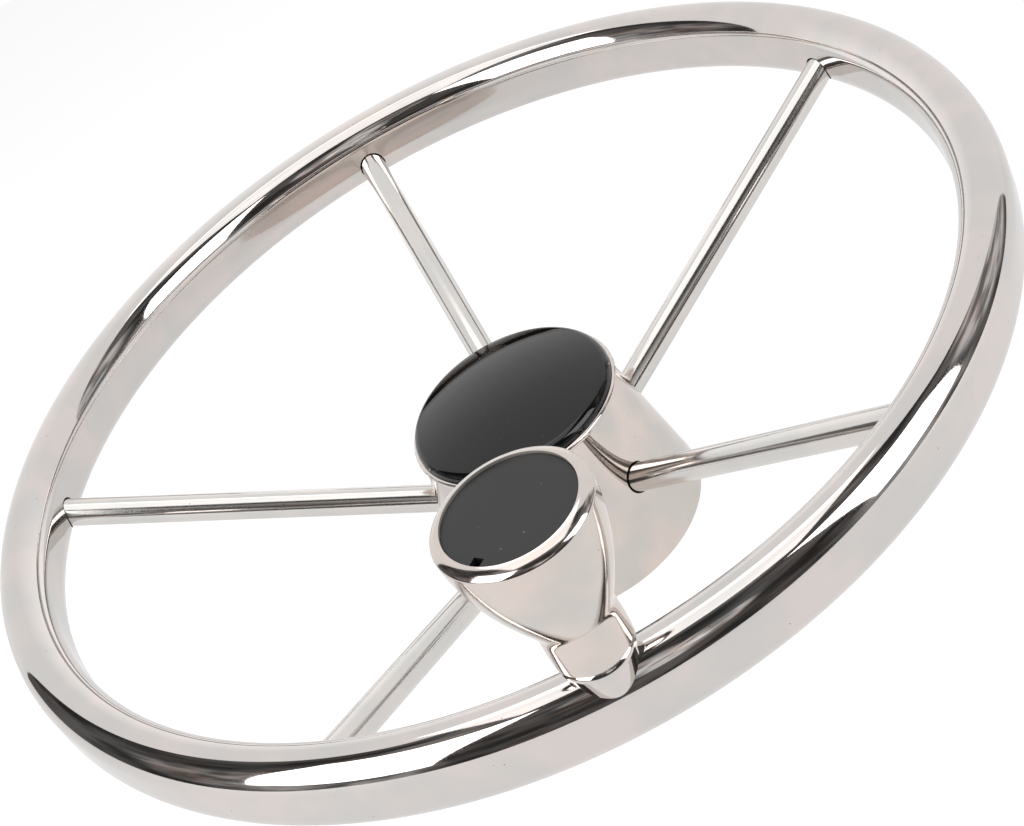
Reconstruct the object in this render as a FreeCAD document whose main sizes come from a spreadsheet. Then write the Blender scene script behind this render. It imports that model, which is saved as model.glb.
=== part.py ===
import FreeCAD, Part
import math
import os
import re

import Sketcher

# Polished stainless boat steering wheel, millimetres, +Z from the hub's back face towards the helmsman.
# The origin is the centre of the hub's back face and Z is the turning axis.
# The spokes lie at 18, 90, 162, 234 and 306 degrees, and the turning knob stands near 266 degrees.

# Driving dimensions
SIZES = {
    # Rim: an oval tube bent into a ring
    "rim_radius": 163.4,          # wheel axis to the middle of the tube
    "rim_width": 16.1,            # tube width across the ring
    "rim_height": 25.3,           # tube height along the axis
    "rim_side": 6.9,              # straight part of the tube's side
    "rim_wall": 1.5,
    "rim_lift": 80.0,             # hub back face to the rim's middle plane
    # Spokes: solid round rods, dished back towards the hub
    "spoke_count": 5,
    "spoke_first_angle": 18.0,
    "spoke_radius": 4.7,
    "spoke_rise_angle": 22.2,     # slope of a spoke above the hub's back plane
    "spoke_drop": 5.35,           # rim middle plane down to the spoke's axis at the rim's inner wall
    "spoke_rim_reach": 5.0,       # how far a spoke runs into the rim tube
    "spoke_boss_reach": 8.0,      # how deep a spoke sits in the boss
    "spoke_hole_gap": 0.3,        # gap round a spoke where it enters the rim and the hub shell
    "seat_gap": 0.03,             # gap round pieces that are pressed or welded together
    # Hub shell: a spun cone with a beaded lip that holds the cap
    "hub_base_radius": 44.6,
    "hub_neck_radius": 34.5,
    "hub_height": 54.0,
    "hub_wall": 1.2,
    "lip_step": 1.3,              # how far the lip stands out over the neck
    "lip_wall": 0.8,
    "lip_height": 2.6,
    "lip_flare": 0.8,
    "lip_round": 1.05,            # radius of the bead that the lip's edge is rolled to
    "cap_seat_depth": 1.8,
    # Boss: carries the spokes and takes the tapered helm shaft
    "boss_radius": 22.0,
    "boss_height": 46.0,
    "boss_edge": 1.0,
    "taper_radius": 9.525,
    "taper_length": 38.0,
    "taper_run": 12.0,            # length in which the bore's diameter shrinks by one
    "thread_hole_radius": 8.2,
    "key_width": 4.8,
    "key_depth": 2.4,
    "plate_thickness": 2.0,
    # Centre cap: a shallow black dome with a skirt and a sealing ring
    "cap_gap": 0.1,
    "cap_edge_rise": 0.25,        # how far the cap's straight edge stands above the lip
    "cap_shoulder": 3.4,
    "cap_crown_radius": 120.0,
    "cap_wall": 2.0,
    "skirt_gap": 0.5,
    "skirt_depth": 6.5,
    "ring_depth": 0.9,            # how deep the sealing ring's groove is cut into the skirt
    "ring_drop": 3.2,             # cap seat down to the middle of the groove
    "ring_gap": 0.1,
    # Knob foot: a tapered cup that is coped over the rim
    "knob_angle": 266.0,
    "foot_rise": 6.35,            # how far the foot stands above the rim
    "foot_grip": 7.65,            # how far it reaches down the rim's sides
    "foot_tip_inset": 1.08,
    "foot_radius": 10.4,
    "foot_round": 1.8,
    # Bolt that the knob turns on
    "bolt_radius": 4.0,
    "bolt_reach": 3.15,           # how far the bolt's end stands inside the rim tube
    "bolt_tip_edge": 0.8,
    "bolt_head_radius": 6.5,
    "bolt_head_height": 8.0,
    "bolt_head_edge": 0.6,
    "socket_width": 6.0,
    "socket_depth": 4.0,
    "run_gap": 0.05,              # running clearance round the bolt and at the knob's end faces
    "washer_thickness": 0.3,
    "washer_inset": 1.0,          # thrust washer's edge behind the foot's edge
    "washer_bore_gap": 0.2,
    "head_washer_thickness": 1.2,
    # Bushes in the knob
    "bush_wall": 2.2,
    "lower_bush_length": 11.6,
    "upper_bush_length": 10.5,
    "flange_width": 2.0,
    "flange_thickness": 1.2,
    # Knob body: a barrel that opens into a goblet, whose rounded edge holds the black insert
    "barrel_radius": 10.6,
    "barrel_round": 0.35,
    "barrel_bulge_radius": 90.0,
    "barrel_length": 11.9,
    "neck_radius": 10.4,
    "neck_blend": 0.45,           # reach of the neck's small fillet, down the barrel and up the goblet
    "flare_angle": 27.0,          # slope of the goblet's side just above the neck
    "flare_length": 12.7,
    "flare_radius": 16.1,
    "flare_round": 130.0,
    "bowl_length": 21.45,
    "bowl_round": 67.0,
    "edge_width": 3.2,            # insert's pocket out to the goblet's widest place
    "edge_round": 1.1,
    "edge_turn": 45.0,            # how far the edge rolls over before the crown begins
    "crown_rise": 1.5,
    "crown_round": 5.4,
    "cup_depth": 8.9,             # insert's seat down to the cup's sloping floor
    "cup_floor_gap": 1.3,
    "flange_rise": 12.7,          # neck up to the upper bush's flange
    # Insert: a black disc that hides the bolt's head
    "insert_radius": 17.35,
    "insert_lip": 1.0,            # width of the seat under the insert's edge
    "insert_gap": 0.1,
    "insert_thickness": 1.6,
    "insert_sink": 0.75,          # insert's face below the goblet's highest place
    "notch_angle": -45.0,         # place of the pry notch, turned from the outward direction
    "notch_width": 2.8,
    "notch_depth": 2.9,
}

doc = FreeCAD.newDocument("boat_steering_wheel")
sheet = doc.addObject("Spreadsheet::Sheet", "sizes")
for row, (alias, value) in enumerate(SIZES.items(), start=1):
    sheet.set(f"A{row}", alias)
    sheet.set(f"B{row}", str(value))
    sheet.setAlias(f"B{row}", alias)
doc.recompute()

NAMES = re.compile(r"\b(" + "|".join(sorted(SIZES, key=len, reverse=True)) + r")\b")


def bound_text(text):
    """The expression with each size written as a cell of the sheet."""
    return NAMES.sub(r"sizes.\1", text)


def value(text):
    """The number that an expression in the named sizes stands for."""
    result = sheet.evalExpression(bound_text(text))
    return float(getattr(result, "Value", result))


def bind(item, name, text):
    item.setExpression(name, bound_text(text))


# Derived sizes, as expressions in the driving ones

SPOKE_RISE = "tan(spoke_rise_angle * 1 deg)"
RIM_INNER = "(rim_radius - rim_width / 2)"
HUB_SLOPE = "((hub_base_radius - hub_neck_radius) / (hub_height - lip_height))"
HUB_WALL_ACROSS = f"(hub_wall * sqrt(1 + {HUB_SLOPE} * {HUB_SLOPE}))"
LIP_RADIUS = "(hub_neck_radius + lip_step)"
CAP_SEAT_RADIUS = f"({LIP_RADIUS} - lip_wall)"
CAP_SEAT = "(hub_height - cap_seat_depth)"
TAPER_END = "(taper_radius - taper_length / taper_run / 2)"
FOOT_TOP = "(rim_height / 2 + foot_rise)"
KNOB_BOTTOM = f"({FOOT_TOP} + washer_thickness + 2 * run_gap)"
NECK = f"({KNOB_BOTTOM} + barrel_length)"
FLARE_TOP = f"({NECK} + flare_length)"
BOWL_TOP = f"({FLARE_TOP} + bowl_length)"
BOWL_RADIUS = "(insert_radius + edge_width)"
CROWN_START = f"({BOWL_TOP} + edge_round * sin(edge_turn * 1 deg))"
CROWN_START_RADIUS = f"({BOWL_RADIUS} - edge_round * (1 - cos(edge_turn * 1 deg)))"
CROWN_TOP = f"({CROWN_START} + crown_rise)"
BUSH_RADIUS = "(bolt_radius + bush_wall)"
FLANGE_RADIUS = f"({BUSH_RADIUS} + flange_width)"
FLANGE_SEAT = f"({NECK} + flange_rise)"
FLANGE_TOP = f"({FLANGE_SEAT} + flange_thickness)"
HEAD_BOTTOM = f"({FLANGE_TOP} + head_washer_thickness + 2 * run_gap)"
CUP_RADIUS = "(insert_radius - insert_lip)"
INSERT_SEAT = f"({CROWN_TOP} - insert_sink - insert_thickness)"


def shell_inside(height):
    """Inner radius of the hub shell's cone at a height."""
    return f"(hub_base_radius - {HUB_WALL_ACROSS} - {HUB_SLOPE} * ({height}))"


def at_radius(radius):
    """Height of a spoke's axis above the hub's back face, at a distance from the wheel's axis."""
    return f"(rim_lift - spoke_drop - {SPOKE_RISE} * ({RIM_INNER} - ({radius})))"


# Sketches

def new_body(label):
    body = doc.addObject("PartDesign::Body", label)
    body.Label = label
    return body


def plane_of(body, role):
    return next(item for item in body.Origin.OriginFeatures if item.Role == role)


def new_sketch(body, name, role, lift=None):
    sketch = body.newObject("Sketcher::SketchObject", name)
    sketch.AttachmentSupport = (plane_of(body, role), [""])
    sketch.MapMode = "FlatFace"
    if lift:
        bind(sketch, "AttachmentOffset.Base.z", lift)
    return sketch


def pin_point(sketch, edge, end, across, along):
    """Fixes a point of the sketch at two expressions."""
    first = sketch.addConstraint(Sketcher.Constraint("DistanceX", -1, 1, edge, end, value(across)))
    bind(sketch, f"Constraints[{first}]", across)
    second = sketch.addConstraint(Sketcher.Constraint("DistanceY", -1, 1, edge, end, value(along)))
    bind(sketch, f"Constraints[{second}]", along)


def arc_between(start, end, radius, turn):
    """The shorter arc from start to end; turn is 1 where it bends to the left and -1 to the right."""
    chord = end - start
    side = FreeCAD.Vector(-chord.y, chord.x, 0).normalize() * turn
    # A half circle has no rise, which rounding may turn into a tiny negative square
    rise = math.sqrt(max(radius ** 2 - (chord.Length / 2) ** 2, 0.0))
    centre = (start + end) / 2 + side * rise
    circle = Part.Circle(centre, FreeCAD.Vector(0, 0, 1), radius)
    first, last = (start, end) if turn > 0 else (end, start)
    angles = [math.atan2(point.y - centre.y, point.x - centre.x) for point in (first, last)]
    return Part.ArcOfCircle(circle, angles[0], angles[1])


def add_outline(sketch, corners):
    """A closed outline from (across, along) corners, with the radius and turn of an arc that leaves one.

    No radius means a half circle over a level chord, whose middle is then pinned instead.
    """
    points = [FreeCAD.Vector(value(corner[0]), value(corner[1]), 0) for corner in corners]
    edges = []
    for index, corner in enumerate(corners):
        start, end = points[index], points[(index + 1) % len(points)]
        if len(corner) > 2:
            half_circle = corner[2] is None
            radius = (end - start).Length / 2 if half_circle else value(corner[2])
            edge = sketch.addGeometry(arc_between(start, end, radius, corner[3]))
            ends = (1, 2) if corner[3] > 0 else (2, 1)
            bound = corner[1] if half_circle else corner[2]
            if half_circle:
                rule = Sketcher.Constraint("DistanceY", -1, 1, edge, 3, value(bound))
            else:
                rule = Sketcher.Constraint("Radius", edge, radius)
            bind(sketch, f"Constraints[{sketch.addConstraint(rule)}]", bound)
        else:
            edge = sketch.addGeometry(Part.LineSegment(start, end))
            ends = (1, 2)
        edges.append((edge, ends))
    for index, (edge, ends) in enumerate(edges):
        before, before_ends = edges[index - 1]
        sketch.addConstraint(Sketcher.Constraint("Coincident", before, before_ends[1], edge, ends[0]))
        pin_point(sketch, edge, ends[0], corners[index][0], corners[index][1])


def add_circle(sketch, radius, across="0", along="0"):
    centre = FreeCAD.Vector(value(across), value(along), 0)
    edge = sketch.addGeometry(Part.Circle(centre, FreeCAD.Vector(0, 0, 1), value(radius)))
    pin_point(sketch, edge, 3, across, along)
    size = sketch.addConstraint(Sketcher.Constraint("Radius", edge, value(radius)))
    bind(sketch, f"Constraints[{size}]", radius)


def add_oval(sketch, across, inset):
    """The rim tube's section: two half ellipses joined by straight sides, set in by a wall."""
    half_width = f"(rim_width / 2 - {inset})"
    crown = f"((rim_height - rim_side) / 2 - {inset})"
    arcs = []
    for sign in (1, -1):
        along = f"{sign} * rim_side / 2"
        centre = FreeCAD.Vector(value(across), value(along), 0)
        top = centre + FreeCAD.Vector(0, sign * value(crown), 0)
        side = centre + FreeCAD.Vector(-sign * value(half_width), 0, 0)
        ellipse = Part.Ellipse(top, side, centre)
        arc = sketch.addGeometry(Part.ArcOfEllipse(ellipse, -math.pi / 2, math.pi / 2))
        sketch.exposeInternalGeometry(arc)
        major, minor = arc + 1, arc + 2
        pin_point(sketch, arc, 3, across, along)
        sketch.addConstraint(Sketcher.Constraint("Vertical", major))
        for axis, kind, size in ((major, "Distance", crown), (minor, "Distance", half_width)):
            full = f"2 * {size}"
            length = sketch.addConstraint(Sketcher.Constraint(kind, axis, value(full)))
            bind(sketch, f"Constraints[{length}]", full)
        for end in (1, 2):
            sketch.addConstraint(Sketcher.Constraint("Horizontal", arc, end, arc, 3))
        arcs.append(arc)
    upper, lower = arcs
    for upper_end, lower_end in ((1, 2), (2, 1)):
        start = sketch.getPoint(upper, upper_end)
        end = sketch.getPoint(lower, lower_end)
        line = sketch.addGeometry(Part.LineSegment(start, end))
        sketch.addConstraint(Sketcher.Constraint("Coincident", upper, upper_end, line, 1))
        sketch.addConstraint(Sketcher.Constraint("Coincident", lower, lower_end, line, 2))


# Features

def turned(body, name, corners, cut=False):
    """A solid or a groove of revolution about the body's own Z axis, from radius and height corners."""
    sketch = new_sketch(body, name + "_section", "XZ_Plane")
    add_outline(sketch, corners)
    kind = "PartDesign::Groove" if cut else "PartDesign::Revolution"
    feature = body.newObject(kind, name)
    feature.Profile = sketch
    feature.ReferenceAxis = (sketch, ["V_Axis"])
    feature.Angle = 360
    sketch.Visibility = False
    doc.recompute()
    return feature


def pocket(body, name, sketch, depth, reverse):
    feature = body.newObject("PartDesign::Pocket", name)
    feature.Profile = sketch
    bind(feature, "Length", depth)
    feature.Reversed = reverse
    doc.recompute()
    return feature


def drill_spoke_holes(body, name, radius, inner, outer, lift="0"):
    """Round holes along the spokes, from one distance from the wheel's axis to another."""
    drill = body.newObject("PartDesign::SubtractiveCylinder", name)
    bind(drill, "Radius", radius)
    bind(drill, "Height", f"({outer} - ({inner})) / cos(spoke_rise_angle * 1 deg)")
    drill.Placement = spoke_placement(value(inner), value("spoke_first_angle"), value(lift))
    doc.recompute()
    ring = body.newObject("PartDesign::PolarPattern", name + "_ring")
    ring.Originals = [drill]
    ring.Axis = (axis_of(body), [""])
    ring.Angle = 360
    bind(ring, "Occurrences", "spoke_count")
    body.Tip = ring
    doc.recompute()


def axis_of(body):
    return next(item for item in body.Origin.OriginFeatures if item.Role == "Z_Axis")


def spoke_placement(radius, angle, lift=0.0):
    """Puts a cylinder's own axis on a spoke's axis, starting at a distance from the wheel's axis."""
    height = value(at_radius(str(radius))) - lift
    turn = FreeCAD.Rotation(FreeCAD.Vector(0, 0, 1), angle)
    tilt = FreeCAD.Rotation(FreeCAD.Vector(0, 1, 0), 90 - value("spoke_rise_angle"))
    base = turn.multVec(FreeCAD.Vector(radius, 0, height))
    return FreeCAD.Placement(base, turn.multiply(tilt))


def on_knob_axis(body):
    """Moves a body to the knob's axis at the rim's middle plane, with its X pointing outwards."""
    angle = "(knob_angle * 1 deg)"
    bind(body, "Placement.Base.x", f"rim_radius * cos{angle}")
    bind(body, "Placement.Base.y", f"rim_radius * sin{angle}")
    bind(body, "Placement.Base.z", "rim_lift")
    bind(body, "Placement.Rotation.Angle", "knob_angle * 1 deg")
    body.Placement.Rotation.Axis = FreeCAD.Vector(0, 0, 1)


# Rim

def make_rim():
    body = new_body("rim")
    bind(body, "Placement.Base.z", "rim_lift")
    for name, kind, inset in (("tube", "Revolution", "0"), ("hollow", "Groove", "rim_wall")):
        sketch = new_sketch(body, name + "_section", "XZ_Plane")
        add_oval(sketch, "rim_radius", inset)
        feature = body.newObject(f"PartDesign::{kind}", name)
        feature.Profile = sketch
        feature.ReferenceAxis = (sketch, ["V_Axis"])
        feature.Angle = 360
        doc.recompute()
    drill_spoke_holes(body, "spoke_hole", "spoke_radius + spoke_hole_gap",
                      f"{RIM_INNER} - rim_wall - 2 * spoke_radius", "rim_radius", "rim_lift")
    sketch = new_sketch(body, "bolt_hole_circle", "XY_Plane")
    angle = "(knob_angle * 1 deg)"
    add_circle(sketch, "bolt_radius + seat_gap", f"rim_radius * cos{angle}", f"rim_radius * sin{angle}")
    pocket(body, "bolt_hole", sketch, "rim_height", True)
    return body


# Spokes

def make_spoke(number):
    inner = "boss_radius - spoke_boss_reach"
    outer = f"{RIM_INNER} + spoke_rim_reach"
    spoke = doc.addObject("Part::Cylinder", f"spoke_{number}")
    spoke.Label = f"spoke_{number}"
    bind(spoke, "Radius", "spoke_radius")
    bind(spoke, "Height", f"({outer} - ({inner})) / cos(spoke_rise_angle * 1 deg)")
    step = 360 / SIZES["spoke_count"]
    spoke.Placement = spoke_placement(value(inner), SIZES["spoke_first_angle"] + step * (number - 1))
    return spoke


# Hub

def make_hub_shell():
    body = new_body("hub_shell")
    neck = "hub_height - lip_height"
    turned(body, "cone", [
        ("hub_base_radius", "0"),
        ("hub_neck_radius", neck),
        (LIP_RADIUS, f"{neck} + lip_flare", "lip_round", 1),
        (CAP_SEAT_RADIUS, "hub_height"),
        (CAP_SEAT_RADIUS, CAP_SEAT),
        (shell_inside(CAP_SEAT), CAP_SEAT),
        (shell_inside("0"), "0"),
    ])
    drill_spoke_holes(body, "spoke_hole", "spoke_radius + spoke_hole_gap",
                      "boss_radius + spoke_radius", "hub_base_radius + spoke_radius")
    return body


def make_hub_boss():
    body = new_body("hub_boss")
    turned(body, "barrel", [
        ("0", "0"),
        ("boss_radius", "0"),
        ("boss_radius", "boss_height - boss_edge"),
        ("boss_radius - boss_edge", "boss_height"),
        ("0", "boss_height"),
    ])
    turned(body, "taper_bore", [
        ("0", "0"),
        ("taper_radius", "0"),
        (TAPER_END, "taper_length"),
        ("thread_hole_radius", "taper_length"),
        ("thread_hole_radius", "boss_height"),
        ("0", "boss_height"),
    ], cut=True)
    sketch = new_sketch(body, "keyway_outline", "XY_Plane")
    add_outline(sketch, [
        ("-key_width / 2", "0"),
        ("key_width / 2", "0"),
        ("key_width / 2", "taper_radius + key_depth"),
        ("-key_width / 2", "taper_radius + key_depth"),
    ])
    pocket(body, "keyway", sketch, "taper_length", True)
    drill_spoke_holes(body, "spoke_socket", "spoke_radius + seat_gap",
                      "boss_radius - spoke_boss_reach", "boss_radius + 2 * spoke_radius")
    return body


def make_hub_back_plate():
    body = new_body("hub_back_plate")
    turned(body, "plate", [
        ("boss_radius + seat_gap", "0"),
        (f"{shell_inside('0')} - seat_gap", "0"),
        (f"{shell_inside('plate_thickness')} - seat_gap", "plate_thickness"),
        ("boss_radius + seat_gap", "plate_thickness"),
    ])
    return body


# Centre cap

CAP_EDGE = f"({CAP_SEAT_RADIUS} - cap_gap)"
CAP_EDGE_TOP = "(hub_height + cap_edge_rise)"
CROWN_SINE = f"(({CAP_EDGE} - cap_shoulder) / (cap_crown_radius - cap_shoulder))"
CROWN_COSINE = f"sqrt(1 - {CROWN_SINE} * {CROWN_SINE})"
CAP_TOP = f"({CAP_EDGE_TOP} + cap_crown_radius - (cap_crown_radius - cap_shoulder) * {CROWN_COSINE})"
SKIRT_RADIUS = f"({shell_inside(CAP_SEAT)} - skirt_gap)"
GROOVE_MIDDLE = f"({CAP_SEAT} - ring_drop)"
GROOVE_FLOOR = f"({SKIRT_RADIUS} - ring_depth)"
RING_SECTION = f"(({shell_inside(GROOVE_MIDDLE)} - ring_gap - {GROOVE_FLOOR} - seat_gap) / 2)"


def make_centre_cap():
    body = new_body("centre_cap")
    skirt_end = f"{CAP_SEAT} - skirt_depth"
    skirt_inner = f"({SKIRT_RADIUS} - cap_wall)"
    inner_radius = "(cap_crown_radius - cap_wall)"
    ceiling_drop = f"({inner_radius} - sqrt({inner_radius} * {inner_radius} - {skirt_inner} * {skirt_inner}))"
    turned(body, "dome", [
        ("0", f"{CAP_TOP} - cap_wall", inner_radius, -1),
        (skirt_inner, f"{CAP_TOP} - cap_wall - {ceiling_drop}"),
        (skirt_inner, skirt_end),
        (SKIRT_RADIUS, skirt_end),
        (SKIRT_RADIUS, CAP_SEAT),
        (CAP_EDGE, CAP_SEAT),
        (CAP_EDGE, CAP_EDGE_TOP, "cap_shoulder", 1),
        (f"{CAP_EDGE} - cap_shoulder + cap_shoulder * {CROWN_SINE}",
         f"{CAP_EDGE_TOP} + cap_shoulder * {CROWN_COSINE}", "cap_crown_radius", 1),
        ("0", CAP_TOP),
    ])
    half_groove = f"({RING_SECTION} + seat_gap)"
    turned(body, "ring_groove", [
        (GROOVE_FLOOR, f"{GROOVE_MIDDLE} - {half_groove}"),
        (f"{SKIRT_RADIUS} + seat_gap", f"{GROOVE_MIDDLE} - {half_groove}"),
        (f"{SKIRT_RADIUS} + seat_gap", f"{GROOVE_MIDDLE} + {half_groove}"),
        (GROOVE_FLOOR, f"{GROOVE_MIDDLE} + {half_groove}"),
    ], cut=True)
    return body


def make_cap_ring():
    ring = doc.addObject("Part::Torus", "cap_seal_ring")
    ring.Label = "cap_seal_ring"
    bind(ring, "Radius1", f"{GROOVE_FLOOR} + seat_gap + {RING_SECTION}")
    bind(ring, "Radius2", RING_SECTION)
    bind(ring, "Placement.Base.z", GROOVE_MIDDLE)
    return ring


# Knob: pieces that stay still on the rim

def make_knob_foot():
    body = new_body("knob_foot")
    on_knob_axis(body)
    bottom = "rim_height / 2 - foot_grip"
    turned(body, "cup", [
        ("0", bottom),
        ("rim_width / 2 - foot_tip_inset", bottom),
        ("foot_radius", f"{FOOT_TOP} - foot_round", "foot_round", 1),
        ("foot_radius - foot_round", FOOT_TOP),
        ("0", FOOT_TOP),
    ])
    sketch = new_sketch(body, "rim_section", "XZ_Plane")
    foot = FreeCAD.Vector(-value("rim_radius"), 0, 0)
    head = foot + FreeCAD.Vector(0, value("rim_height"), 0)
    wheel_axis = sketch.addGeometry(Part.LineSegment(foot, head), True)
    pin_point(sketch, wheel_axis, 1, "-rim_radius", "0")
    pin_point(sketch, wheel_axis, 2, "-rim_radius", "rim_height")
    add_oval(sketch, "0", "0")
    cope = body.newObject("PartDesign::Groove", "cope")
    cope.Profile = sketch
    cope.ReferenceAxis = (sketch, ["Axis0"])
    cope.Angle = 360
    doc.recompute()
    sketch = new_sketch(body, "bolt_hole_circle", "XY_Plane")
    add_circle(sketch, "bolt_radius + seat_gap")
    pocket(body, "bolt_hole", sketch, FOOT_TOP, True)
    return body


def make_knob_bolt():
    body = new_body("knob_bolt")
    on_knob_axis(body)
    tip = "(rim_height / 2 - rim_wall - bolt_reach)"
    head_top = f"({HEAD_BOTTOM} + bolt_head_height)"
    turned(body, "shank_and_head", [
        ("0", tip),
        ("bolt_radius - bolt_tip_edge", tip),
        ("bolt_radius", f"{tip} + bolt_tip_edge"),
        ("bolt_radius", HEAD_BOTTOM),
        ("bolt_head_radius", HEAD_BOTTOM),
        ("bolt_head_radius", f"{head_top} - bolt_head_edge"),
        ("bolt_head_radius - bolt_head_edge", head_top),
        ("0", head_top),
    ])
    sketch = new_sketch(body, "socket_outline", "XY_Plane", f"{head_top} - socket_depth")
    corner = "socket_width / 2 / cos(30 deg)"
    add_outline(sketch, [(f"{corner} * cos({60 * side} deg)", f"{corner} * sin({60 * side} deg)")
                         for side in range(6)])
    pocket(body, "hex_socket", sketch, "bolt_head_height", True)
    return body


def make_ring(label, inner, outer, bottom, top):
    """A plain flat ring on the knob's axis."""
    body = new_body(label)
    on_knob_axis(body)
    turned(body, "ring", [(inner, bottom), (outer, bottom), (outer, top), (inner, top)])
    return body


# Knob: pieces that turn

def make_knob_body():
    body = new_body("knob_body")
    on_knob_axis(body)
    turned(body, "goblet", [
        (f"{BUSH_RADIUS} + seat_gap", KNOB_BOTTOM),
        ("barrel_radius - barrel_round", KNOB_BOTTOM, "barrel_round", 1),
        ("barrel_radius", f"{KNOB_BOTTOM} + barrel_round", "barrel_bulge_radius", 1),
        ("neck_radius", f"{NECK} - neck_blend", "neck_blend / tan(flare_angle * 0.5 deg)", -1),
        ("neck_radius + neck_blend * sin(flare_angle * 1 deg)",
         f"{NECK} + neck_blend * cos(flare_angle * 1 deg)", "flare_round", 1),
        ("flare_radius", FLARE_TOP, "bowl_round", 1),
        (BOWL_RADIUS, BOWL_TOP, "edge_round", 1),
        (CROWN_START_RADIUS, CROWN_START, "crown_round", 1),
        ("insert_radius", CROWN_TOP),
        ("insert_radius", INSERT_SEAT),
        (CUP_RADIUS, INSERT_SEAT),
        (CUP_RADIUS, f"{INSERT_SEAT} - cup_depth"),
        (f"{FLANGE_RADIUS} + cup_floor_gap", FLANGE_SEAT),
        (f"{BUSH_RADIUS} + seat_gap", FLANGE_SEAT),
    ])
    return body


def make_knob_bush_lower():
    return make_ring("knob_bush_lower", "bolt_radius + run_gap", BUSH_RADIUS,
                     KNOB_BOTTOM, f"{KNOB_BOTTOM} + lower_bush_length")


def make_knob_bush_upper():
    body = new_body("knob_bush_upper")
    on_knob_axis(body)
    turned(body, "flanged_ring", [
        ("bolt_radius + run_gap", f"{FLANGE_SEAT} - upper_bush_length"),
        (BUSH_RADIUS, f"{FLANGE_SEAT} - upper_bush_length"),
        (BUSH_RADIUS, FLANGE_SEAT),
        (FLANGE_RADIUS, FLANGE_SEAT),
        (FLANGE_RADIUS, FLANGE_TOP),
        ("bolt_radius + run_gap", FLANGE_TOP),
    ])
    return body


def make_knob_insert():
    body = new_body("knob_insert")
    on_knob_axis(body)
    edge = "insert_radius - insert_gap"
    turned(body, "disc", [
        ("0", INSERT_SEAT),
        (edge, INSERT_SEAT),
        (edge, f"{INSERT_SEAT} + insert_thickness"),
        ("0", f"{INSERT_SEAT} + insert_thickness"),
    ])
    sketch = new_sketch(body, "notch_outline", "XY_Plane", INSERT_SEAT)
    bind(sketch, "AttachmentOffset.Rotation.Angle", "notch_angle * 1 deg")
    add_outline(sketch, [
        (f"{edge} - notch_depth", "-notch_width / 2"),
        ("insert_radius", "-notch_width / 2"),
        ("insert_radius", "notch_width / 2"),
        (f"{edge} - notch_depth", "notch_width / 2"),
    ])
    pocket(body, "pry_notch", sketch, "insert_thickness", True)
    return body


pieces = [make_rim()]
pieces += [make_spoke(number) for number in range(1, SIZES["spoke_count"] + 1)]
pieces += [
    make_hub_shell(),
    make_hub_boss(),
    make_hub_back_plate(),
    make_centre_cap(),
    make_cap_ring(),
    make_knob_foot(),
    make_knob_bolt(),
    make_ring("knob_thrust_washer", "bolt_radius + washer_bore_gap", "foot_radius - washer_inset",
              f"{FOOT_TOP} + run_gap", f"{FOOT_TOP} + run_gap + washer_thickness"),
    make_ring("knob_head_washer", "bolt_radius + washer_bore_gap", FLANGE_RADIUS,
              f"{FLANGE_TOP} + run_gap", f"{FLANGE_TOP} + run_gap + head_washer_thickness"),
    make_knob_body(),
    make_knob_bush_lower(),
    make_knob_bush_upper(),
    make_knob_insert(),
]
doc.recompute()

# Checks and export

for item in doc.Objects:
    if "Invalid" in item.State or "Error" in item.State:
        raise RuntimeError(f"{item.Name} failed: {item.State}")
    if item.TypeId == "Sketcher::SketchObject" and item.solve() != 0:
        raise RuntimeError(f"sketch {item.Name} has no solution")
for piece in pieces:
    shape = piece.Shape
    if shape.isNull() or not shape.isValid() or len(shape.Solids) != 1:
        raise RuntimeError(f"{piece.Label} isn't one valid solid")

os.makedirs("parts", exist_ok=True)
for piece in pieces:
    piece.Shape.exportStep(f"parts/{piece.Label}.step")
    box = piece.Shape.BoundBox
    print(f"{piece.Label}: {piece.Shape.Volume / 1000:.2f} cm3, z {box.ZMin:.2f} to {box.ZMax:.2f}")
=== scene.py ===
# %% [markdown]
# A boat's steering wheel is bent, spun and turned from stainless steel and polished like a mirror.
# Its solids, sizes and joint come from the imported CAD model, which is loaded here as a fixed frame.
# Mirror steel shows every flat facet of a mesh, so the surfaces that show are built again below
# with many small faces, to the sizes of the CAD model, and each one stands for its CAD node. Two of them
# leave those sizes a little: the gap round each spoke and the neck of the knob, as their cells say.

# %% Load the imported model
import math

import bmesh
import bpy
import numpy as np
from mathutils import Matrix, Vector


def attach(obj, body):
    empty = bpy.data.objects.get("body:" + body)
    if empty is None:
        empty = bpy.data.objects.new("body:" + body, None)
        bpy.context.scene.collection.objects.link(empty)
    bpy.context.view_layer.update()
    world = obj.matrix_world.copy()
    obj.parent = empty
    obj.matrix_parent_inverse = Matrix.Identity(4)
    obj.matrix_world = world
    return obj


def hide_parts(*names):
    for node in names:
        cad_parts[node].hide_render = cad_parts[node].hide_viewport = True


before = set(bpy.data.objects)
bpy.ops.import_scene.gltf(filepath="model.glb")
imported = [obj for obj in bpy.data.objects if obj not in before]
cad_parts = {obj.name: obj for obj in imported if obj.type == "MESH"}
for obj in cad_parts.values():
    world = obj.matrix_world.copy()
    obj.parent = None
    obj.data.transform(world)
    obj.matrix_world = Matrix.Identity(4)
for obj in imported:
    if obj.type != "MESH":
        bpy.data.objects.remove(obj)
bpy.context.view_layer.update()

# %% [markdown]
# Sizes are written in millimetres, as on a maker's drawing, and turned to metres where a mesh is made.
# The wheel turns about Z. The hub's back face lies at height 0 and the rim's middle plane at 80 mm.
# The knob stands on the rim a little left of the bottom, and its own axis is parallel to the wheel's.

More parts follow.
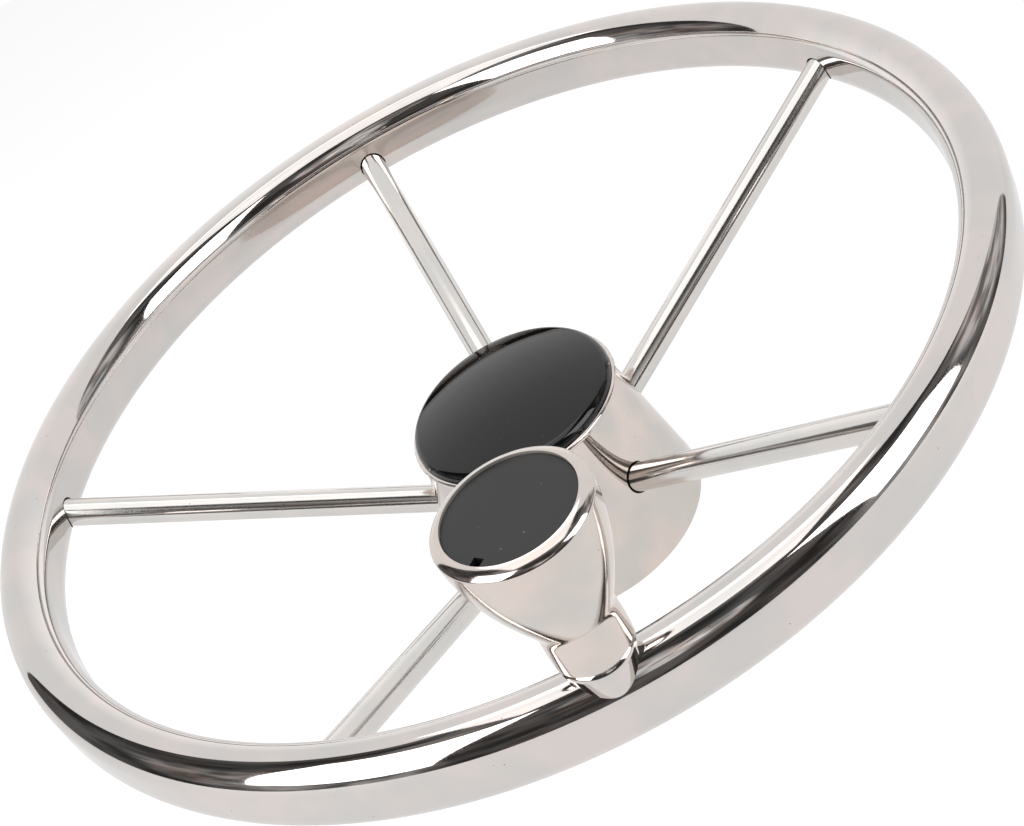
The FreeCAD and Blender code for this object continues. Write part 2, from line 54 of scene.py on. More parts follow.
# %% Sizes that several pieces share
MM = 0.001
RIM_RADIUS = 163.4
RIM_LIFT = 80.0
RIM_HALF_WIDTH = 8.05
RIM_HALF_SIDE = 3.45
RIM_CROWN = 9.2
KNOB_ANGLE = math.radians(266.0)
KNOB_AXIS = (RIM_RADIUS * math.cos(KNOB_ANGLE), RIM_RADIUS * math.sin(KNOB_ANGLE))
SPOKE_COUNT = 5
FIRST_SPOKE_ANGLE = math.radians(18.0)
SPOKE_RADIUS = 4.7
SPOKE_RISE = math.tan(math.radians(22.2))
# The spokes meet the rim's inner side a little below its middle plane
SPOKE_DROP = 5.35
SPOKE_RIM_PLACE = (RIM_RADIUS - RIM_HALF_WIDTH, RIM_LIFT - SPOKE_DROP)
# The wall round the knob's insert, and the height over the rim's middle plane from which it counts
INSERT_SEAT_RADIUS = 17.35
INSERT_SEAT_LOW = 65.0
print("knob axis (mm):", [round(x, 2) for x in KNOB_AXIS])

# %% [markdown]
# The camera stands above and in front of the wheel and is rolled to one side, so the rim runs up to
# the right. Its place, turn and lens were measured by laying the rim, hub and knob over the photograph.
# The small lens shift puts the wheel where the photograph has it in the frame.

# %% Camera
camera = bpy.data.objects.new("camera", bpy.data.cameras.new("camera"))
bpy.context.scene.collection.objects.link(camera)
camera.location = (0.00397, -0.49132, 0.40767)
camera.rotation_euler = [math.radians(angle) for angle in (53.3303, 25.1148, -18.0921)]
camera.data.sensor_width = 36.0
camera.data.lens = 65.306
camera.data.shift_x = 0.02528
camera.data.shift_y = -0.10373
camera.data.clip_start = 0.01
bpy.context.scene.camera = camera
print("camera lens:", camera.data.lens, "mm")

# %% [markdown]
# Materials are networks of nodes. Every node in this file, for a surface or for a shape, is added by
# the one function below, which sets its properties and fills its inputs with values or links.
# Colours are written as hex codes and turned to the linear numbers that light needs. A pattern's Scale
# says how often it repeats in a metre, so a spacing in millimetres is turned into one by per_metre.

# %% Helpers for nodes and colours
def add_node(tree, kind, inputs=None, **settings):
    """Adds a node with its settings; an input is a value or the output of another node."""
    made = tree.nodes.new(kind)
    for name, value in settings.items():
        setattr(made, name, value)
    for key, value in (inputs or {}).items():
        if isinstance(value, bpy.types.NodeSocket):
            tree.links.new(value, made.inputs[key])
        else:
            made.inputs[key].default_value = value
    return made


def map_range(tree, value, start, end=(0.0, 1.0), **settings):
    """The output that maps a value from one range to another."""
    return add_node(tree, "ShaderNodeMapRange", {
        "Value": value, "From Min": start[0], "From Max": start[1],
        "To Min": end[0], "To Max": end[1]}, **settings).outputs[0]


def linear(code):
    """The linear colour of an sRGB hex code such as "#D5CFCB"."""
    channels = [int(code[place:place + 2], 16) / 255 for place in (1, 3, 5)]
    return [c / 12.92 if c <= 0.04045 else ((c + 0.055) / 1.055) ** 2.4 for c in channels] + [1.0]


def per_metre(spacing):
    """The Scale of a pattern that repeats after a spacing in millimetres."""
    return 1.0 / (spacing * MM)


def new_material(name):
    """An empty material and its tree."""
    material = bpy.data.materials.new(name)
    material.use_nodes = True
    material.node_tree.nodes.clear()
    return material, material.node_tree


print("steel grey in linear light:", [round(c, 3) for c in linear("#D5CFCB")])

# %% [markdown]
# Marine stainless is buffed with finer and finer compound until it mirrors the room. What is left for
# the eye is a clear reflection with a faint bloom, hair-fine buffing scratches and a few tiny pits.
# The colour is a warm light grey, and a metal needs no other colour: the rest is what it reflects.

# %% Polished stainless steel
# Buffing marks are some 0.02 mm apart and are drawn 0.5 mm apart, so that they show at all
MARK_SPACING = 0.5
MARK_DEPTH = 0.02
MARK_STRENGTH = 0.05
# Noise seldom leaves this part of its range from 0 to 1
NOISE_MIDDLE = (0.3, 0.7)
# Bent and spun steel keeps soft waves some centimetres long
WAVE_SCALE = 45.0
WAVE_DEPTH = 0.03
# Steel is never of quite one colour: it drifts between a lighter, pinkish grey and a plainer one
DRIFT_SCALE = 45.0
DRIFT_RANGE = (0.4, 0.6)
# A pit is a dark speck some 0.3 mm across, dark up to the first radius and gone at the second
PIT_RADII = (0.10, 0.22)
PIT_COLOUR = "#4A4440"
SEAT_ROUGHNESS = 0.5
SEAT_MARGIN = 0.02


def polished_steel(name, tint, second_tint, haze_low, haze_high, pit_spacing, seat=None):
    """Mirror steel with fine buffing marks and sparse pits, both drawn coarser than real ones.

    A seat is a wall left as turned: its axis, its radius and the height above which it lies."""
    material, tree = new_material(name)
    place = add_node(tree, "ShaderNodeTexCoord").outputs["Object"]
    marks = add_node(tree, "ShaderNodeTexNoise", {
        "Vector": place, "Scale": per_metre(MARK_SPACING), "Detail": 2.0})
    waves = add_node(tree, "ShaderNodeTexNoise", {"Vector": place, "Scale": WAVE_SCALE, "Detail": 0.0})
    roughness = map_range(tree, marks.outputs["Fac"], NOISE_MIDDLE, (haze_low, haze_high))
    if seat:
        axis, radius, bottom = seat
        flat = add_node(tree, "ShaderNodeVectorMath", {
            0: place, 1: (1.0, 1.0, 0.0)}, operation="MULTIPLY")
        away = add_node(tree, "ShaderNodeVectorMath", {
            0: flat.outputs["Vector"], 1: (axis[0] * MM, axis[1] * MM, 0.0)}, operation="DISTANCE")
        inside = add_node(tree, "ShaderNodeMath", {
            0: away.outputs["Value"], 1: radius * MM}, operation="LESS_THAN")
        height = add_node(tree, "ShaderNodeSeparateXYZ", {0: place}).outputs["Z"]
        above = add_node(tree, "ShaderNodeMath", {0: height, 1: bottom * MM}, operation="GREATER_THAN")
        seat_wall = add_node(tree, "ShaderNodeMath", {
            0: inside.outputs[0], 1: above.outputs[0]}, operation="MULTIPLY")
        roughness = add_node(tree, "ShaderNodeMath", {
            0: seat_wall.outputs[0], 1: SEAT_ROUGHNESS, 2: roughness}, operation="MULTIPLY_ADD").outputs[0]
    wave_bump = add_node(tree, "ShaderNodeBump", {
        "Height": waves.outputs["Fac"], "Strength": 1.0, "Distance": WAVE_DEPTH * MM})
    mark_bump = add_node(tree, "ShaderNodeBump", {
        "Height": marks.outputs["Fac"], "Normal": wave_bump.outputs["Normal"],
        "Strength": MARK_STRENGTH, "Distance": MARK_DEPTH * MM})
    # There is a pit where the surface happens to meet the middle of a cell, which is seldom
    cells = add_node(tree, "ShaderNodeTexVoronoi", {"Vector": place, "Scale": per_metre(pit_spacing)})
    pit = map_range(tree, cells.outputs["Distance"], [r / pit_spacing for r in PIT_RADII], (1.0, 0.0))
    drift = add_node(tree, "ShaderNodeTexNoise", {"Vector": place, "Scale": DRIFT_SCALE, "Detail": 2.0})
    share = map_range(tree, drift.outputs["Fac"], DRIFT_RANGE)
    clean = add_node(tree, "ShaderNodeMix", {
        0: share, 6: linear(tint), 7: linear(second_tint)}, data_type="RGBA")
    colour = add_node(tree, "ShaderNodeMix", {
        0: pit, 6: clean.outputs[2], 7: linear(PIT_COLOUR)}, data_type="RGBA")
    surface = add_node(tree, "ShaderNodeBsdfPrincipled", {
        "Base Color": colour.outputs[2], "Metallic": 1.0, "Roughness": roughness,
        "Normal": mark_bump.outputs["Normal"]})
    add_node(tree, "ShaderNodeOutputMaterial", {"Surface": surface.outputs["BSDF"]})
    return material


mirror_steel = polished_steel("mirror_polished_stainless", "#DCD4D0", "#D3D0CD", 0.03, 0.07, 5.0)
# The hub is spun from sheet, of a slightly warmer steel, and keeps a little more haze
spun_steel = polished_steel("spun_polished_stainless", "#E2D6CF", "#D5CFCA", 0.04, 0.08, 6.0)
# The knob is polished by hand and less deeply, so its reflections are softer. The wall round its
# insert is left as turned, and rough enough to show the insert's black only as a soft shade.
hand_steel = polished_steel("hand_polished_stainless", "#E1D5CE", "#D2CDC8", 0.08, 0.12, 7.0,
                            seat=(KNOB_AXIS, INSERT_SEAT_RADIUS + SEAT_MARGIN,
                                  RIM_LIFT + INSERT_SEAT_LOW))
# The spokes are bright drawn rod, which keeps more haze than the buffed rim
drawn_steel = polished_steel("bright_drawn_stainless", "#E0DBD7", "#DAD8D5", 0.11, 0.17, 9.0)
print("made", mirror_steel.name, spun_steel.name, hand_steel.name, "and", drawn_steel.name)

# %% [markdown]
# The boss, the back plate and the washers are left as the lathe made them. A turning tool leaves fine
# rings round the axis, which spread each reflection sideways, so these pieces look satin and not clear.

# %% Turned stainless steel
RING_SCALE = 125.0
RING_DEPTH = 0.02
RING_STRENGTH = 0.35
GRAIN_SCALE = 900.0
GRAIN_SHARES = (0.8, 1.25)


def turned_steel(name, tint, roughness, axis):
    """Lathe-turned steel: fine rings round an upright axis, given in millimetres."""
    material, tree = new_material(name)
    place = add_node(tree, "ShaderNodeTexCoord").outputs["Object"]
    centred = add_node(tree, "ShaderNodeMapping", {
        "Vector": place, "Location": (-axis[0] * MM, -axis[1] * MM, 0.0)})
    # The real feed is near 0.1 mm a turn. It is drawn 2.5 mm apart, so that it shows in a view of the
    # whole wheel: a Wave texture has 20 / (2 pi) rings to a unit of its scaled coordinates.
    rings = add_node(tree, "ShaderNodeTexWave", {
        "Vector": centred.outputs["Vector"], "Scale": RING_SCALE, "Distortion": 0.4, "Detail": 1.0},
        wave_type="RINGS", rings_direction="Z")
    grain = add_node(tree, "ShaderNodeTexNoise", {"Vector": place, "Scale": GRAIN_SCALE, "Detail": 3.0})
    satin = map_range(tree, grain.outputs["Fac"], (0.0, 1.0), [roughness * x for x in GRAIN_SHARES])
    bump = add_node(tree, "ShaderNodeBump", {
        "Height": rings.outputs["Fac"], "Strength": RING_STRENGTH, "Distance": RING_DEPTH * MM})
    surface = add_node(tree, "ShaderNodeBsdfPrincipled", {
        "Base Color": linear(tint), "Metallic": 1.0, "Roughness": satin,
        "Normal": bump.outputs["Normal"]})
    add_node(tree, "ShaderNodeOutputMaterial", {"Surface": surface.outputs["BSDF"]})
    return material


turned_hub_steel = turned_steel("turned_stainless", "#C9C5C0", 0.24, (0.0, 0.0))
turned_knob_steel = turned_steel("turned_bolt_steel", "#BDBAB6", 0.3, KNOB_AXIS)
print("made", turned_hub_steel.name, "and", turned_knob_steel.name)

# %% [markdown]
# The cap over the hub is moulded in gloss black ABS, which mirrors about a twentieth of the light.
# The insert in the knob is the same plastic with a satin face. Both have a little dust and fine wear.
# The seal under the cap is black rubber, and the bushes in the knob are white bearing plastic.

# %% Plastics and rubber
# Dust is a speck of some 0.4 mm here and there, in cells of 4 mm, and most of it misses the surface
DUST_SPACING = 4.0
DUST_RADII = (0.12, 0.28)
GLOSS_SCALE = 60.0
GLOSS_RANGE = (0.35, 0.65)
GRAIN_STRENGTH = 0.3


def moulded_plastic(name, colour, dust_colour, rough_low, rough_high, grain_spacing, grain_depth):
    """Moulded plastic: colour with sparse dust, uneven gloss and a fine grain, sizes in millimetres."""
    material, tree = new_material(name)
    place = add_node(tree, "ShaderNodeTexCoord").outputs["Object"]
    grain = add_node(tree, "ShaderNodeTexNoise", {
        "Vector": place, "Scale": per_metre(grain_spacing), "Detail": 2.0})
    clouds = add_node(tree, "ShaderNodeTexNoise", {"Vector": place, "Scale": GLOSS_SCALE, "Detail": 3.0})
    specks = add_node(tree, "ShaderNodeTexVoronoi", {"Vector": place, "Scale": per_metre(DUST_SPACING)})
    dust = map_range(tree, specks.outputs["Distance"], [r / DUST_SPACING for r in DUST_RADII], (1.0, 0.0))
    tone = add_node(tree, "ShaderNodeMix", {
        0: dust, 6: linear(colour), 7: linear(dust_colour)}, data_type="RGBA")
    gloss = map_range(tree, clouds.outputs["Fac"], GLOSS_RANGE, (rough_low, rough_high))
    bump = add_node(tree, "ShaderNodeBump", {
        "Height": grain.outputs["Fac"], "Strength": GRAIN_STRENGTH, "Distance": grain_depth * MM})
    surface = add_node(tree, "ShaderNodeBsdfPrincipled", {
        "Base Color": tone.outputs[2], "Metallic": 0.0, "Roughness": gloss,
        "IOR": 1.5, "Normal": bump.outputs["Normal"]})
    add_node(tree, "ShaderNodeOutputMaterial", {"Surface": surface.outputs["BSDF"]})
    return material


gloss_black = moulded_plastic("gloss_black_moulded_abs", "#070707", "#3A3A3A", 0.015, 0.03, 1.2, 0.0004)
satin_black = moulded_plastic("satin_black_moulded_abs", "#1E1E1E", "#8A8A8A", 0.34, 0.42, 0.35, 0.006)
seal_rubber = moulded_plastic("black_seal_rubber", "#1A1A1B", "#303030", 0.6, 0.75, 0.4, 0.01)
bearing_white = moulded_plastic("white_bearing_plastic", "#E6E4DC", "#C8C4BA", 0.35, 0.5, 0.5, 0.005)
print("made", gloss_black.name, "and", satin_black.name)

# %% [markdown]
# A finished piece is a plain mesh whose place is in its own points. The function below gives it its
# material and smooth shading with crisp corners, makes it ride on a body of the CAD model, and hides
# the CAD nodes that it stands for.

# %% Finish a piece
def finish_piece(piece, material, body, nodes, crisp_above=30.0):
    """Shades a mesh smoothly up to an angle in degrees and ties it to the CAD model."""
    mesh = piece.data
    mesh.materials.clear()
    mesh.materials.append(material)
    if crisp_above is not None:
        mesh.shade_smooth()
        mesh.set_sharp_from_angle(angle=math.radians(crisp_above))
    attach(piece, body)
    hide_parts(*nodes)
    places = np.array([vertex.co for vertex in mesh.vertices]) / MM
    lowest, highest = places.min(0).round(2), places.max(0).round(2)
    print(piece.name, len(mesh.polygons), "faces from", lowest, "to", highest, "mm")
    return piece


def plain_mesh(holder, name):
    """The evaluated result of an object's modifiers as a plain mesh; the object is removed."""
    graph = bpy.context.evaluated_depsgraph_get()
    mesh = bpy.data.meshes.new_from_object(holder.evaluated_get(graph))
    mesh.name = name
    bpy.data.objects.remove(holder)
    return mesh


def new_object(name, mesh):
    """A mesh as an object of the scene."""
    made = bpy.data.objects.new(name, mesh)
    bpy.context.scene.collection.objects.link(made)
    return made


def run_tree(tree, name, values):
    """Evaluates a Geometry Nodes tree with its named inputs set, and returns a plain mesh."""
    holder = new_object(name, bpy.data.meshes.new(name))
    modifier = holder.modifiers.new("shape", "NODES")
    modifier.node_group = tree
    sockets = {item.name: item.identifier
               for item in tree.interface.items_tree if item.in_out == "INPUT"}
    for label, value in values.items():
        modifier[sockets[label]] = value
    return plain_mesh(holder, name)


def new_tree(name, inputs):
    """A Geometry Nodes tree with a geometry output and inputs of the named kinds, and its input node."""
    tree = bpy.data.node_groups.new(name, "GeometryNodeTree")
    for label, kind in inputs.items():
        tree.interface.new_socket(label, in_out="INPUT", socket_type="NodeSocket" + kind)
    tree.interface.new_socket("Geometry", in_out="OUTPUT", socket_type="NodeSocketGeometry")
    return tree, add_node(tree, "NodeGroupInput")


def end_tree(tree, source, geometry):
    """Ends a tree in Realize Instances and Set Material."""
    real = add_node(tree, "GeometryNodeRealizeInstances", {"Geometry": geometry})
    painted = add_node(tree, "GeometryNodeSetMaterial", {
        "Geometry": real.outputs["Geometry"], "Material": source.outputs["Material"]})
    add_node(tree, "NodeGroupOutput", {"Geometry": painted.outputs["Geometry"]})


# %% [markdown]
# The rim is one tube, pressed oval and rolled into a ring. Its shape follows a rule: an oval section
# is carried round a circle, so Geometry Nodes make it. The section starts as a circle of points, which
# a Set Position node stretches to two half ellipses with a straight side between them.

# %% Rule for the rim
RIM_STEPS_ROUND, RIM_STEPS_IN_SECTION = 512, 96


def oval_ring_tree():
    """A tree that carries an oval section round a circle; its sizes are in metres."""
    tree, source = new_tree("oval_ring", {
        "Ring radius": "Float", "Lift": "Float", "Half width": "Float", "Crown": "Float",
        "Half side": "Float", "Steps round": "Int", "Steps in section": "Int", "Material": "Material"})
    value = source.outputs
    section = add_node(tree, "GeometryNodeCurvePrimitiveCircle", {
        "Resolution": value["Steps in section"], "Radius": 1.0})
    position = add_node(tree, "GeometryNodeInputPosition")
    point = add_node(tree, "ShaderNodeSeparateXYZ", {0: position.outputs[0]})
    across = add_node(tree, "ShaderNodeMath", {
        0: point.outputs["X"], 1: value["Half width"]}, operation="MULTIPLY")
    side = add_node(tree, "ShaderNodeMath", {0: point.outputs["Y"]}, operation="SIGN")
    straight = add_node(tree, "ShaderNodeMath", {
        0: side.outputs[0], 1: value["Half side"]}, operation="MULTIPLY")
    along = add_node(tree, "ShaderNodeMath", {
        0: point.outputs["Y"], 1: value["Crown"], 2: straight.outputs[0]}, operation="MULTIPLY_ADD")
    oval_point = add_node(tree, "ShaderNodeCombineXYZ", {"X": across.outputs[0], "Y": along.outputs[0]})
    oval = add_node(tree, "GeometryNodeSetPosition", {
        "Geometry": section.outputs["Curve"], "Position": oval_point.outputs["Vector"]})
    ring = add_node(tree, "GeometryNodeCurvePrimitiveCircle", {
        "Resolution": value["Steps round"], "Radius": value["Ring radius"]})
    tube = add_node(tree, "GeometryNodeCurveToMesh", {
        "Curve": ring.outputs["Curve"], "Profile Curve": oval.outputs["Geometry"]})
    height = add_node(tree, "ShaderNodeCombineXYZ", {"Z": value["Lift"]})
    lifted = add_node(tree, "GeometryNodeTransform", {
        "Geometry": tube.outputs["Mesh"], "Translation": height.outputs["Vector"]})
    end_tree(tree, source, lifted.outputs["Geometry"])
    return tree


rim_mesh = run_tree(oval_ring_tree(), "rim_tube", {
    "Ring radius": RIM_RADIUS * MM, "Lift": RIM_LIFT * MM, "Half width": RIM_HALF_WIDTH * MM,
    "Crown": RIM_CROWN * MM, "Half side": RIM_HALF_SIDE * MM, "Steps round": RIM_STEPS_ROUND,
    "Steps in section": RIM_STEPS_IN_SECTION, "Material": mirror_steel})
print("rim mesh:", len(rim_mesh.polygons), "faces")

# %% [markdown]
# The five spokes are plain round rods that rise from the hub to the rim, one every 72 degrees.
# A second tree lays one rod on a sloping line and repeats it round the axis. The same tree, with a
# slightly thicker rod, also makes the drills for the holes that the spokes go into.

# %% Rule for the spokes
ROD_STEPS = 96


def rods_tree():
    """A tree that lays round rods on a sloping line, evenly round the axis; its sizes are in metres."""
    tree, source = new_tree("rods_round_a_hub", {
        "Count": "Int", "First angle": "Float", "Radius": "Float", "Inner end": "Float",
        "Outer end": "Float", "Known radius": "Float", "Known height": "Float", "Rise": "Float",
        "Material": "Material"})
    value = source.outputs
    ends = []
    for label in ("Inner end", "Outer end"):
        reach = add_node(tree, "ShaderNodeMath", {
            0: value[label], 1: value["Known radius"]}, operation="SUBTRACT")
        height = add_node(tree, "ShaderNodeMath", {
            0: reach.outputs[0], 1: value["Rise"], 2: value["Known height"]}, operation="MULTIPLY_ADD")
        ends.append(add_node(tree, "ShaderNodeCombineXYZ", {"X": value[label], "Z": height.outputs[0]}))
    line = add_node(tree, "GeometryNodeCurvePrimitiveLine", {
        "Start": ends[0].outputs["Vector"], "End": ends[1].outputs["Vector"]})
    section = add_node(tree, "GeometryNodeCurvePrimitiveCircle", {
        "Resolution": ROD_STEPS, "Radius": value["Radius"]})
    rod = add_node(tree, "GeometryNodeCurveToMesh", {
        "Curve": line.outputs["Curve"], "Profile Curve": section.outputs["Curve"], "Fill Caps": True})
    spots = add_node(tree, "GeometryNodePoints", {"Count": value["Count"]})
    step = add_node(tree, "ShaderNodeMath", {0: math.tau, 1: value["Count"]}, operation="DIVIDE")
    number = add_node(tree, "GeometryNodeInputIndex")
    angle = add_node(tree, "ShaderNodeMath", {
        0: number.outputs[0], 1: step.outputs[0], 2: value["First angle"]}, operation="MULTIPLY_ADD")
    turn = add_node(tree, "ShaderNodeCombineXYZ", {"Z": angle.outputs[0]})
    rods = add_node(tree, "GeometryNodeInstanceOnPoints", {
        "Points": spots.outputs[0], "Instance": rod.outputs["Mesh"], "Rotation": turn.outputs["Vector"]})
    end_tree(tree, source, rods.outputs["Instances"])
    return tree


rods = rods_tree()
SPOKE_REACH = (14.0, 160.35)


def rods_mesh(name, radius, inner, outer):
    """Rods between two distances from the axis, in millimetres, on the spokes' lines."""
    return run_tree(rods, name, {
        "Count": SPOKE_COUNT, "First angle": FIRST_SPOKE_ANGLE, "Radius": radius * MM,
        "Inner end": inner * MM, "Outer end": outer * MM, "Known radius": SPOKE_RIM_PLACE[0] * MM,
        "Known height": SPOKE_RIM_PLACE[1] * MM, "Rise": SPOKE_RISE, "Material": mirror_steel})


spokes = new_object("spokes", rods_mesh("spokes", SPOKE_RADIUS, *SPOKE_REACH))
finish_piece(spokes, drawn_steel, "wheel",
             [f"spoke_{number}" for number in range(1, SPOKE_COUNT + 1)])

# %% [markdown]
# Each spoke goes into the rim through a hole that is a little wider than the rod, and the dark line
# round it shows in the photograph. The real gap is 0.3 mm and is drawn half as wide again, so that it
# shows in the render too. The holes are cut with a Boolean modifier. A cut leaves odd faces, and a
# mirror would show them, so every corner gets the exact normal of the oval tube afterwards.

# %% Cut the spoke holes
SPOKE_GAP = 0.45
RIM_DRILL = (147.0, 161.0)
# A face keeps its own normal where the cosine between it and the exact one is less than this
AGREEMENT = 0.9


def cut_away(mesh, name, cutter):
    """The mesh less the shape of a cutter, which is removed."""
    holder = new_object(name, mesh)
    cut = holder.modifiers.new("cut", "BOOLEAN")
    cut.operation = "DIFFERENCE"
    cut.solver = "MANIFOLD"
    cut.object = cutter
    result = plain_mesh(holder, name)
    bpy.data.objects.remove(cutter)
    return result


def cut_holes(mesh, name, inner, outer):
    """The mesh with a hole for each spoke, drilled between two distances from the axis."""
    drills = new_object("drills", rods_mesh("drills", SPOKE_RADIUS + SPOKE_GAP, inner, outer))
    return cut_away(mesh, name, drills)


def set_exact_normals(mesh, normals_at):
    """Gives each corner the normal that normals_at returns, where the face agrees with it."""
    count = len(mesh.polygons)
    points = np.zeros(len(mesh.vertices) * 3)
    mesh.vertices.foreach_get("co", points)
    faces = np.zeros(count * 3)
    mesh.polygons.foreach_get("normal", faces)
    middles = np.zeros(count * 3)
    mesh.polygons.foreach_get("center", middles)
    sizes = np.zeros(count, int)
    mesh.polygons.foreach_get("loop_total", sizes)
    corners = np.zeros(len(mesh.loops), int)
    mesh.loops.foreach_get("vertex_index", corners)
    points, faces, middles = (array.reshape(-1, 3) for array in (points, faces, middles))
    owner = np.repeat(np.arange(count), sizes)
    exact = normals_at(points, corners, middles[owner], faces[owner])
    agrees = (exact * faces[owner]).sum(1) > AGREEMENT
    mesh.shade_smooth()
    mesh.normals_split_custom_set(np.where(agrees[:, None], exact, faces[owner]).tolist())


def rim_normals(points, corners, middles, faces):
    """The normal of the oval tube at each corner."""
    place = points[corners] / MM
    radius = np.hypot(place[:, 0], place[:, 1])
    across = (radius - RIM_RADIUS) / RIM_HALF_WIDTH ** 2
    along = place[:, 2] - RIM_LIFT
    along = np.sign(along) * np.maximum(np.abs(along) - RIM_HALF_SIDE, 0.0) / RIM_CROWN ** 2
    normal = np.stack([across * place[:, 0] / radius, across * place[:, 1] / radius, along], 1)
    return normal / np.linalg.norm(normal, axis=1)[:, None]


rim_mesh = cut_holes(rim_mesh, "rim_tube", *RIM_DRILL)
set_exact_normals(rim_mesh, rim_normals)
rim = new_object("rim_tube", rim_mesh)
finish_piece(rim, mirror_steel, "wheel", ["rim"], crisp_above=None)

# %% [markdown]
# Everything else on the wheel is round, made on a lathe or spun over a former. Such a piece is drawn
# as a closed outline of (distance from the axis, height) and turned about that axis. Corners are
# joined by straight runs, cut into short steps so that smooth shading stays true, and by arcs.

# %% Outlines and turning
def run(start, end, steps=1):
    """Points of a straight run from start up to but not including end."""
    return [(start[0] + (end[0] - start[0]) * k / steps, start[1] + (end[1] - start[1]) * k / steps)
            for k in range(steps)]


def arc(start, end, radius, turn, steps):
    """Points of an arc from start up to but not including end; it bends left for 1, right for -1."""
    start, end = Vector(start), Vector(end)
    chord = end - start
    side = Vector((-chord.y, chord.x)).normalized() * turn
    centre = (start + end) / 2 + side * math.sqrt(max(radius ** 2 - (chord.length / 2) ** 2, 0.0))
    first = math.atan2(start.y - centre.y, start.x - centre.x)
    sweep = math.remainder(math.atan2(end.y - centre.y, end.x - centre.x) - first, math.tau)
    return [(centre.x + radius * math.cos(first + sweep * k / steps),
             centre.y + radius * math.sin(first + sweep * k / steps)) for k in range(steps)]


def turned(name, outline_at, axis=(0.0, 0.0), base=0.0, segments=256):
    """A mesh from a closed outline, or from one for each angle, turned about an upright axis."""
    rings = []
    for number in range(segments):
        angle = math.tau * number / segments
        outline = outline_at(angle) if callable(outline_at) else outline_at
        rings.append([((axis[0] + r * math.cos(angle)) * MM, (axis[1] + r * math.sin(angle)) * MM,
                       (base + height) * MM) for r, height in outline])
    length = len(rings[0])
    faces = [(i * length + j, (i + 1) % segments * length + j,
              (i + 1) % segments * length + (j + 1) % length, i * length + (j + 1) % length)
             for i in range(segments) for j in range(length)]
    mesh = bpy.data.meshes.new(name)
    mesh.from_pydata([point for ring in rings for point in ring], [], faces)
    work = bmesh.new()
    work.from_mesh(mesh)
    bmesh.ops.remove_doubles(work, verts=work.verts, dist=1e-7)
    bmesh.ops.recalc_face_normals(work, faces=work.faces)
    work.to_mesh(mesh)
    work.free()
    return mesh


print("a quarter circle in two steps:", [tuple(round(x, 3) for x in point)
                                         for point in arc((1.0, 0.0), (0.0, 1.0), 1.0, 1, 2)])

# %% [markdown]
# The hub shell is a steel disc spun over a former into a cone. Its lip at the top is rolled to a bead
# and holds the cap; the bead mirrors the lamp, the dim room and the table as three thin lines. The
# disc is thin, so it gets its inner wall as well. The spokes pass through five holes in it.
# Its normals are set as the rim's are: a turned face keeps its own slope all round the axis.

# %% Hub shell
HUB_BASE = (44.6, 0.0)
HUB_NECK = (34.5, 51.4)
HUB_WALL = 1.2
LIP_FLOOR = 52.2
LIP_FLARE = (35.8, LIP_FLOOR)
LIP_TOP = (35.0, 54.0)
LIP_ROUND = 1.05
HUB_DRILL = (26.7, 52.0)
HUB_SLOPE = (HUB_BASE[0] - HUB_NECK[0]) / HUB_NECK[1]
HUB_WALL_ACROSS = HUB_WALL * math.sqrt(1 + HUB_SLOPE ** 2)


def shell_inside(height):
    """Radius of the shell's inner wall at a height."""
    return HUB_BASE[0] - HUB_WALL_ACROSS - HUB_SLOPE * height


lip_foot = (LIP_TOP[0], LIP_FLOOR)
inner_top = (shell_inside(LIP_FLOOR), LIP_FLOOR)
inner_base = (shell_inside(0.0), 0.0)
hub_outline = (
    run(HUB_BASE, HUB_NECK, 24) + run(HUB_NECK, LIP_FLARE, 2) + arc(LIP_FLARE, LIP_TOP, LIP_ROUND, 1, 36)
    + run(LIP_TOP, lip_foot) + run(lip_foot, inner_top) + run(inner_top, inner_base, 8)
    + run(inner_base, HUB_BASE))


def lathe_normals(points, corners, middles, faces):
    """A turned face's own slope, carried round the wheel's axis to each of its corners."""
    outward = middles[:, :2] / np.linalg.norm(middles[:, :2], axis=1)[:, None]
    slope = (faces[:, :2] * outward).sum(1)
    place = points[corners][:, :2]
    direction = place / np.linalg.norm(place, axis=1)[:, None]
    normal = np.concatenate([direction * slope[:, None], faces[:, 2:]], 1)
    return normal / np.maximum(np.linalg.norm(normal, axis=1), 1e-9)[:, None]


hub_mesh = cut_holes(turned("hub_cone", hub_outline, segments=384), "hub_cone", *HUB_DRILL)
set_exact_normals(hub_mesh, lathe_normals)
hub = new_object("hub_cone", hub_mesh)
finish_piece(hub, spun_steel, "wheel", ["hub_shell"], crisp_above=None)

# %% [markdown]
# The boss inside the hub is turned from bar, with the tapered bore and keyway for the helm shaft.
# It shows only from behind. The CAD mesh has the right shape but loose triangles, so a copy of it is
# joined up and shaded smoothly, which is quicker and truer than drawing it a second time.

# %% Boss and back plate
def joined_copy(node, name):
    """A copy of a CAD node's mesh with its loose triangles joined at their corners."""
    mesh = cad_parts[node].data.copy()
    mesh.name = name
    work = bmesh.new()
    work.from_mesh(mesh)
    bmesh.ops.remove_doubles(work, verts=work.verts, dist=1e-6)
    work.to_mesh(mesh)
    work.free()
    return new_object(name, mesh)


for node, name in (("hub_boss", "boss"), ("hub_back_plate", "back_plate")):
    finish_piece(joined_copy(node, name), turned_hub_steel, "wheel", [node])

# %% [markdown]
# The centre cap is a shallow black dome that snaps into the lip. Its crown has a radius of 120 mm, so
# that near its edge it mirrors the far side of the rim as a thin line, and a small shoulder rolls down
# to the lip and draws the dark band round the edge. Both get many steps.

